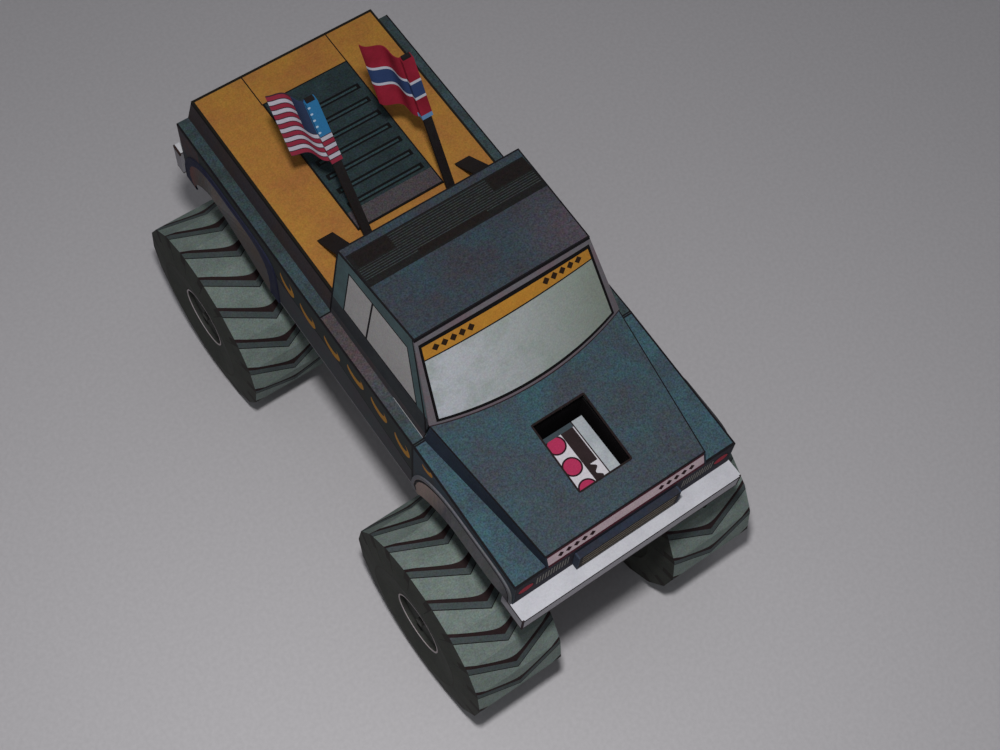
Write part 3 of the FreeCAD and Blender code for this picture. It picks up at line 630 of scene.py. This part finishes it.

# %% [markdown]
# ## Flares
# A flare is a strip with a glued rim. The front ones have a lilac rim, a thin dark line and a
# dusty pink leaf, which is painted dark grey as shade except towards its rear foot. The rear ones
# are blue-violet above and grey-brown below, and turn red-brown by the tail.

# %% Print the flares
FRONT_RIM, REAR_RIM = 30.41, 30.7
material, tree, place, _, y, _, out = card("printed_card_flare_front_painted_shade")
# Painted shade: the leaf is dark grey, and its own dusty pink shows only towards its rear foot.
ink = drifting(tree, place, "#3f4040", "#47454a", size=6.0)
foot = add(tree, "MapRange", y, -46.0, -36.0, 0.0, 1.0)
ink = add(tree, "MixRGB", foot, ink, "#8d7b75")
rim = block(tree, (out, -FAR, FRONT_RIM))
ink = add(tree, "MixRGB", rim, ink, drifting(tree, place, "#65666e", "#6b6a6c", size=4.0))
ink = add(tree, "MixRGB", block(tree, (out, FRONT_RIM + 0.01, FRONT_RIM + 0.15)), ink, INK_LINE)
finish_card(tree, ink, place, dots=0.15)
dress(material, "arch_flares_front")

material, tree, place, _, y, _, out = card("printed_card_flare_rear")
ink = drifting(tree, place, "#524a46", "#4f4e50", size=6.0)
tail = add(tree, "MapRange", y, 58.0, 66.0, 0.0, 1.0)
ink = add(tree, "MixRGB", tail, ink, "#6d4643")
rim = block(tree, (out, -FAR, REAR_RIM))
ink = add(tree, "MixRGB", rim, ink, drifting(tree, place, "#25273c", "#2c2e3c", size=5.0))
finish_card(tree, ink, place, dots=0.15)
dress(material, "arch_flares_rear")
print("flares printed, with rims to", FRONT_RIM, "and", REAR_RIM, "mm out")

# %% [markdown]
# ## Engine under the hood
# The opening shows the printed top of a small box: red exhaust ports with dark rims on a white
# strip, a dark valley that ends in a white shape with a wavy edge, and a long pale cover. The bay
# round it is near-black card, painted shade for the dark inside of the body.

# %% Print the engine
PORT_X = -3.9
PORTS_Y = (-48.7, -54.7, -60.7)
WHITE_EDGE, VALLEY_EDGE, COVER_EDGE = -1.5, 2.0, 2.3
VALLEY_FRONT, BLOCK_REAR = -56.3, -47.1
material, tree, place, x, y, _, _ = card("printed_card_engine")
ink = drifting(tree, place, "#2b2122", "#332729", size=5.0)
wave = add(tree, "Math", add(tree, "Math", y, 2.6, operation="MULTIPLY"), operation="SINE")
wave = add(tree, "Math", wave, 0.55, 0.25, operation="MULTIPLY_ADD")
from_wave = add(tree, "Math", x, wave, operation="SUBTRACT")
wavy = block(tree, (from_wave, 0.0, FAR), (x, -1.4, 1.8), (y, -FAR, VALLEY_FRONT))
edge = block(tree, (x, VALLEY_EDGE - 0.25, VALLEY_EDGE))
white = either(tree, block(tree, (x, -FAR, WHITE_EDGE)), edge, wavy)
ink = add(tree, "MixRGB", white, ink, "#d0ccd2")
for port_y in PORTS_Y:
    for radius, colour in ((2.35, "#2f151d"), (1.95, "#b2335a")):
        port = stamp(tree, x, y, (PORT_X, port_y), (radius, radius))
        ink = add(tree, "MixRGB", port, ink, colour)
cover = block(tree, (x, COVER_EDGE, FAR))
ink = add(tree, "MixRGB", cover, ink, drifting(tree, place, "#a4aab0", "#b3b9bd", size=3.0))
rear = block(tree, (y, BLOCK_REAR, FAR), (x, -FAR, VALLEY_EDGE))
ink = add(tree, "MixRGB", rear, ink, "#3f4a50")
finish_card(tree, ink, place, dots=0.1)
dress(material, "engine_box")

material, tree, place, *_ = card("engine_bay_card_painted_shade")
# Painted shade: the bay's card is near-black so that the inside of the body looks dark.
ink = drifting(tree, place, "#121012", "#171416", size=5.0)
finish_card(tree, ink, place, dots=0.2)
dress(material, "engine_bay")
print("engine printed, with", len(PORTS_Y), "ports")

# %% [markdown]
# ## Poles, braces and the hidden frame
# Poles and braces are folded from sheets printed brown-black. The frame and floor under the body
# are grey card, and the axles are rolled white paper with dark ends.

# %% Print the small parts
AXLE_END = 38.5
material, tree, place, *_ = card("printed_card_black")
ink = drifting(tree, place, "#1d1918", "#221e20", size=6.0)
finish_card(tree, ink, place, dots=0.25)
dress(material, "flag_poles", "braces")

material, tree, place, *_ = card("plain_grey_card")
ink = drifting(tree, place, "#8a8784", "#7c7976", size=10.0)
finish_card(tree, ink, place, dots=0.1)
dress(material, "floor_panel", "frame_box", "axle_mounts", "axle_boxes")

material, tree, place, _, _, _, out = card("plain_white_card")
ink = drifting(tree, place, "#d9d8d6", "#d0cfcc", size=10.0)
ink = add(tree, "MixRGB", block(tree, (out, AXLE_END, FAR)), ink, "#4a4a47")
finish_card(tree, ink, place, dots=0.05)
dress(material, "axle_rod_front", "axle_rod_rear")
print("small parts printed, the axles dark from", AXLE_END, "mm out")

# %% [markdown]
# ## Tyres
# A tyre is an eighteen-sided drum, and its tread is one chevron printed eighteen times. Measured
# from the tread's edge, the chevron climbs to the middle and falls back, so the distance from the
# middle and the angle round the axle are all that the print needs. Each lug is pale green
# with a rounded tip, followed by a brown-black gap, a grey flank and a thin line. The hub is the
# bottom of a shallow cup: dark print inside a rim of bare white card. On the sidewalls, the lugs'
# ends and their lines run on a little way towards the hub.

# %% Find the angle and radius round each axle
low, high = mm("tyre_front_right")
wheel_y = -(low.y + high.y) / 2
wheel_z = (low.z + high.z) / 2


def round_the_axle(tree, y, z):
    """Angle in degrees and radius in millimetres round the axle of the nearer wheels."""
    end = add(tree, "Math", y, operation="SIGN")
    local_y = add(tree, "Math", end, -wheel_y, y, operation="MULTIPLY_ADD")
    local_z = add(tree, "Math", z, wheel_z, operation="SUBTRACT")
    angle = add(tree, "Math", local_z, local_y, operation="ARCTAN2")
    spoke = add(tree, "CombineXYZ", 0.0, local_y, local_z)
    return (add(tree, "Math", angle, operation="DEGREES"),
            add(tree, "VectorMath", spoke, operation="LENGTH"))


print("wheel centres at y", round(wheel_y, 2), "z", round(wheel_z, 2), "mm")

# %% Lay out the tread
OUTER_EDGE, TREAD_WIDTH = 41.3, 24.0
LUG_ANGLE = 20.0
CLIMB = 1.27
MIDDLE_ANGLE = 14.0
GAP_ANGLE = 1.8
TIP_RADIUS = 2.3

material, tree, place, _, y, z, out = card("printed_card_tyre")
angle, radius = round_the_axle(tree, y, z)
off_middle = add(tree, "Math", OUTER_EDGE, out, operation="SUBTRACT")
off_middle = add(tree, "Math", off_middle, TREAD_WIDTH / 2, operation="SUBTRACT")
off_middle = add(tree, "Math", off_middle, operation="ABSOLUTE")
# The chevron climbs by 1.27 degrees for each millimetre towards the middle of the tread.
chevron = add(tree, "Math", off_middle, -CLIMB, MIDDLE_ANGLE, operation="MULTIPLY_ADD")
phase = add(tree, "Math", angle, chevron, operation="SUBTRACT")
phase = add(tree, "Math", phase, LUG_ANGLE, 0.0, operation="WRAP")
tip = add(tree, "Math", off_middle, 2.0, operation="POWER")
tip = add(tree, "Math", add(tree, "Math", tip, TIP_RADIUS ** 2, operation="ADD"), operation="SQRT")
tip = add(tree, "Math", tip, off_middle, operation="SUBTRACT")
gap_start = add(tree, "Math", tip, -CLIMB, LUG_ANGLE - GAP_ANGLE, operation="MULTIPLY_ADD")
gap = add(tree, "Math", phase, gap_start, operation="GREATER_THAN")
print("a lug every", LUG_ANGLE, "degrees, climbing", CLIMB, "degrees a millimetre")

# %% Print the tyres
FLANK, FLANK_LINE = 3.7, 0.6
LUG_RADIUS, LINE_RADIUS, CREASE_RADIUS = 22.8, 19.6, 16.95
LUG_START, LUG_END = 18.0, 3.0

ink = drifting(tree, place, "#727e79", "#7d8984", size=5.0)
flank = block(tree, (phase, -FAR, FLANK))
ink = add(tree, "MixRGB", flank, ink, drifting(tree, place, "#464f4f", "#4d5456", size=4.0))
ink = add(tree, "MixRGB", block(tree, (phase, FLANK, FLANK + FLANK_LINE)), ink, "#1d1a1a")
ink = add(tree, "MixRGB", gap, ink, "#2b1f20")

facing = add(tree, "SeparateXYZ", add(tree, "TexCoord").node.outputs["Normal"]).node.outputs["X"]
facing = add(tree, "Math", facing, operation="ABSOLUTE")
wall = add(tree, "Math", facing, 0.5, operation="GREATER_THAN")
wall_ink = drifting(tree, place, "#363834", "#3e403b", size=7.0)
lug_end = either(tree, block(tree, (phase, LUG_START, FAR)), block(tree, (phase, -FAR, LUG_END)))
lug_end = add(tree, "Math", lug_end, block(tree, (radius, LUG_RADIUS, FAR)), operation="MULTIPLY")
wall_ink = add(tree, "MixRGB", lug_end, wall_ink, "#2b2826")
lug_line = block(tree, (radius, LINE_RADIUS, FAR), (phase, LUG_END, LUG_END + 0.7))
wall_ink = add(tree, "MixRGB", lug_line, wall_ink, "#252322")
wall_ink = add(tree, "MixRGB", rule(tree, radius, CREASE_RADIUS, 0.5), wall_ink, "#34332f")
ink = add(tree, "MixRGB", wall, ink, wall_ink)
finish_card(tree, ink, place, dots=0.22)
dress(material, *[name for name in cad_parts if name.startswith("tyre_")])
print("tyres printed, their lugs ending", LUG_RADIUS, "mm from the axle")

# %% Print the hubs
RIM_DEPTH = 0.15
cup_edge = -mm("hub_front_right")[0].x
material, tree, place, _, _, _, out = card("printed_card_hub")
ink = drifting(tree, place, "#3c3d3a", "#454743", size=5.0)
ink = add(tree, "MixRGB", block(tree, (out, cup_edge - RIM_DEPTH, FAR)), ink, "#b9aeb0")
finish_card(tree, ink, place, dots=0.15)
dress(material, *[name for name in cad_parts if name.startswith("hub_")])
print("hubs printed, their cups end", round(cup_edge, 2), "mm out")

# %% [markdown]
# ## Flags
# Both flags are printed paper, wrapped round their poles. One has thirteen red and white stripes
# and a dark blue corner. The other is a plain red banner with a white-edged blue band. The prints
# are drawn in each flag's own directions: up along its leaning pole, and away from it.

# %% Find up and away on a flag
POLE_FOOT_Y = 13.5
FLAG_START, FLAG_HEIGHT = 21.6, 14.4
pole_foot_z = mm("flag_poles")[0].z


def on_the_flag(tree, x, y, z, foot_x, lean, heading):
    """Distance up the pole, and away from it towards the free edge, in millimetres."""
    lean, heading = math.radians(lean), math.radians(heading)
    up = add(tree, "Math", z, pole_foot_z, operation="SUBTRACT")
    up = add(tree, "Math", up, 1 / math.cos(lean), operation="MULTIPLY")
    level_y = add(tree, "Math", up, -math.sin(lean), y, operation="MULTIPLY_ADD")
    level_y = add(tree, "Math", level_y, POLE_FOOT_Y, operation="SUBTRACT")
    level_x = add(tree, "Math", x, foot_x, operation="SUBTRACT")
    away = add(tree, "Math", level_x, math.cos(heading), operation="MULTIPLY")
    return up, add(tree, "Math", level_y, math.sin(heading), away, operation="MULTIPLY_ADD")


print("a flag starts", FLAG_START, "mm up its pole and is", FLAG_HEIGHT, "mm high")

# %% Print the striped flag
STRIPES = 13
CORNER_START = 28.3
DOT_PITCH = 1.5

material, tree, place, x, y, z, _ = card("printed_paper_flag_striped")
up, away = on_the_flag(tree, x, y, z, foot_x=-10.9, lean=40.6, heading=137.0)
rows = add(tree, "Math", up, FLAG_START + FLAG_HEIGHT, operation="SUBTRACT")
rows = add(tree, "Math", rows, STRIPES / FLAG_HEIGHT, operation="MULTIPLY")
stripe = add(tree, "Math", add(tree, "Math", rows, 0.5, operation="MULTIPLY"), operation="FRACT")
ink = add(tree, "MixRGB", block(tree, (stripe, 0.5, 1.0)), "#b3afba", "#8a2a3d")
edge = add(tree, "Math", add(tree, "Math", rows, operation="FRACT"), 0.5, operation="SUBTRACT")
edge = add(tree, "Math", edge, operation="ABSOLUTE")
ink = add(tree, "MixRGB", block(tree, (edge, 0.40, 0.6)), ink, "#40252f")
# The corner's ink is dark, and lighter beside the pole. Each part: how far it reaches, and its ink.
for reach, colour in ((4.3, "#2b3650"), (1.25, "#2c6d9b")):
    corner = block(tree, (up, CORNER_START, FAR), (away, -FAR, reach))
    ink = add(tree, "MixRGB", corner, ink, colour)
dots = add(tree, "Math", add(tree, "Math", up, 1 / DOT_PITCH, operation="MULTIPLY"), operation="FRACT")
dots = stamp(tree, away, dots, (0.2, 0.5), (0.28, 0.15))
in_corner = block(tree, (up, CORNER_START + 0.3, FLAG_START + FLAG_HEIGHT))
dots = add(tree, "Math", dots, in_corner, operation="MULTIPLY")
ink = add(tree, "MixRGB", dots, ink, "#a9bdd0")
finish_card(tree, ink, place, dots=0.08)
dress(material, "flag_right")
print("flag printed with", STRIPES, "stripes")

# %% Print the banner
BAND = (26.6, 31.0)
BAND_EDGE = 0.6

material, tree, place, x, y, z, _ = card("printed_paper_flag_banner")
up, away = on_the_flag(tree, x, y, z, foot_x=11.7, lean=33.4, heading=125.0)
ink = drifting(tree, place, "#8f2134", "#7a1b2a", size=6.0)
ink = add(tree, "MixRGB", block(tree, (up, *BAND)), ink, "#b4b7c2")
blue = block(tree, (up, BAND[0] + BAND_EDGE, BAND[1] - BAND_EDGE))
ink = add(tree, "MixRGB", blue, ink, "#2c3d63")
foot = block(tree, (up, -FAR, FLAG_START + 1.0), (away, -FAR, 1.4))
ink = add(tree, "MixRGB", foot, ink, "#5f86ad")
finish_card(tree, ink, place, dots=0.08)
dress(material, "flag_left")
print("banner printed, with a band", round(BAND[1] - BAND[0], 1), "mm high")

# %% [markdown]
# ## Desk and light
# A wide pale grey desk carries the shadow. Its laminate is a smooth plastic sheet with a grain of
# about a millimetre, which gives an even, nearly matt grey. The light is one small soft panel above
# the model, a little towards the camera, so the shadows stay narrow and close, with an even glow
# from all round that keeps them open. The room that the camera and reflections see is brighter
# than the glow, so that it isn't dark past the edge of the desk.

# %% Add the desk
DESK_SIZE = 3.0
GRAINS_PER_METRE = 900.0

bpy.ops.object.select_all(action="DESELECT")
bpy.ops.mesh.primitive_plane_add(size=DESK_SIZE, location=(0, 0, 0))
desk = bpy.context.object
desk.name = "desk"
desk_material = bpy.data.materials.new("laminate_desk_top")
desk_material.use_nodes = True
tree = desk_material.node_tree
place = add(tree, "TexCoord").node.outputs["Object"]
grain = add(tree, "TexNoise", Vector=place, Scale=GRAINS_PER_METRE, Detail=2.0)
grain = add(tree, "MapRange", grain, 0.3, 0.7, 0.96, 1.04)
surface = add(tree, "MixRGB", 1.0, "#c9c6c9", grain, blend_type="MULTIPLY")
shader = tree.nodes["Principled BSDF"]
tree.links.new(surface, shader.inputs["Base Color"])
shader.inputs["Roughness"].default_value = 0.6
desk.data.materials.append(desk_material)
print("desk of", desk.dimensions.x, "m")

# %% Add the lamps
KEY_PLACE = (-0.0815, -0.0988, 0.4193)
GLOW = 0.17
SEEN_GLOW = 0.5

bpy.ops.object.light_add(type="AREA", location=KEY_PLACE)
key = bpy.context.object
key.name = "key_panel"
key.data.shape = "DISK"
key.data.size = 0.028
key.data.energy = 0.55
key.data.spread = math.radians(140)

world = bpy.data.worlds.new("room_glow")
bpy.context.scene.world = world
world.use_nodes = True
tree = world.node_tree
background = tree.nodes["Background"]
background.inputs["Color"].default_value = linear("#e9ebf0")
rays = add(tree, "LightPath").node.outputs
seen = either(tree, rays["Is Camera Ray"], rays["Is Glossy Ray"], rays["Is Transmission Ray"])
strength = add(tree, "MapRange", seen, 0.0, 1.0, GLOW, SEEN_GLOW)
tree.links.new(strength, background.inputs["Strength"])
bpy.context.scene.view_settings.view_transform = "Standard"
print("key panel of", key.data.energy, "W and glow of", GLOW)
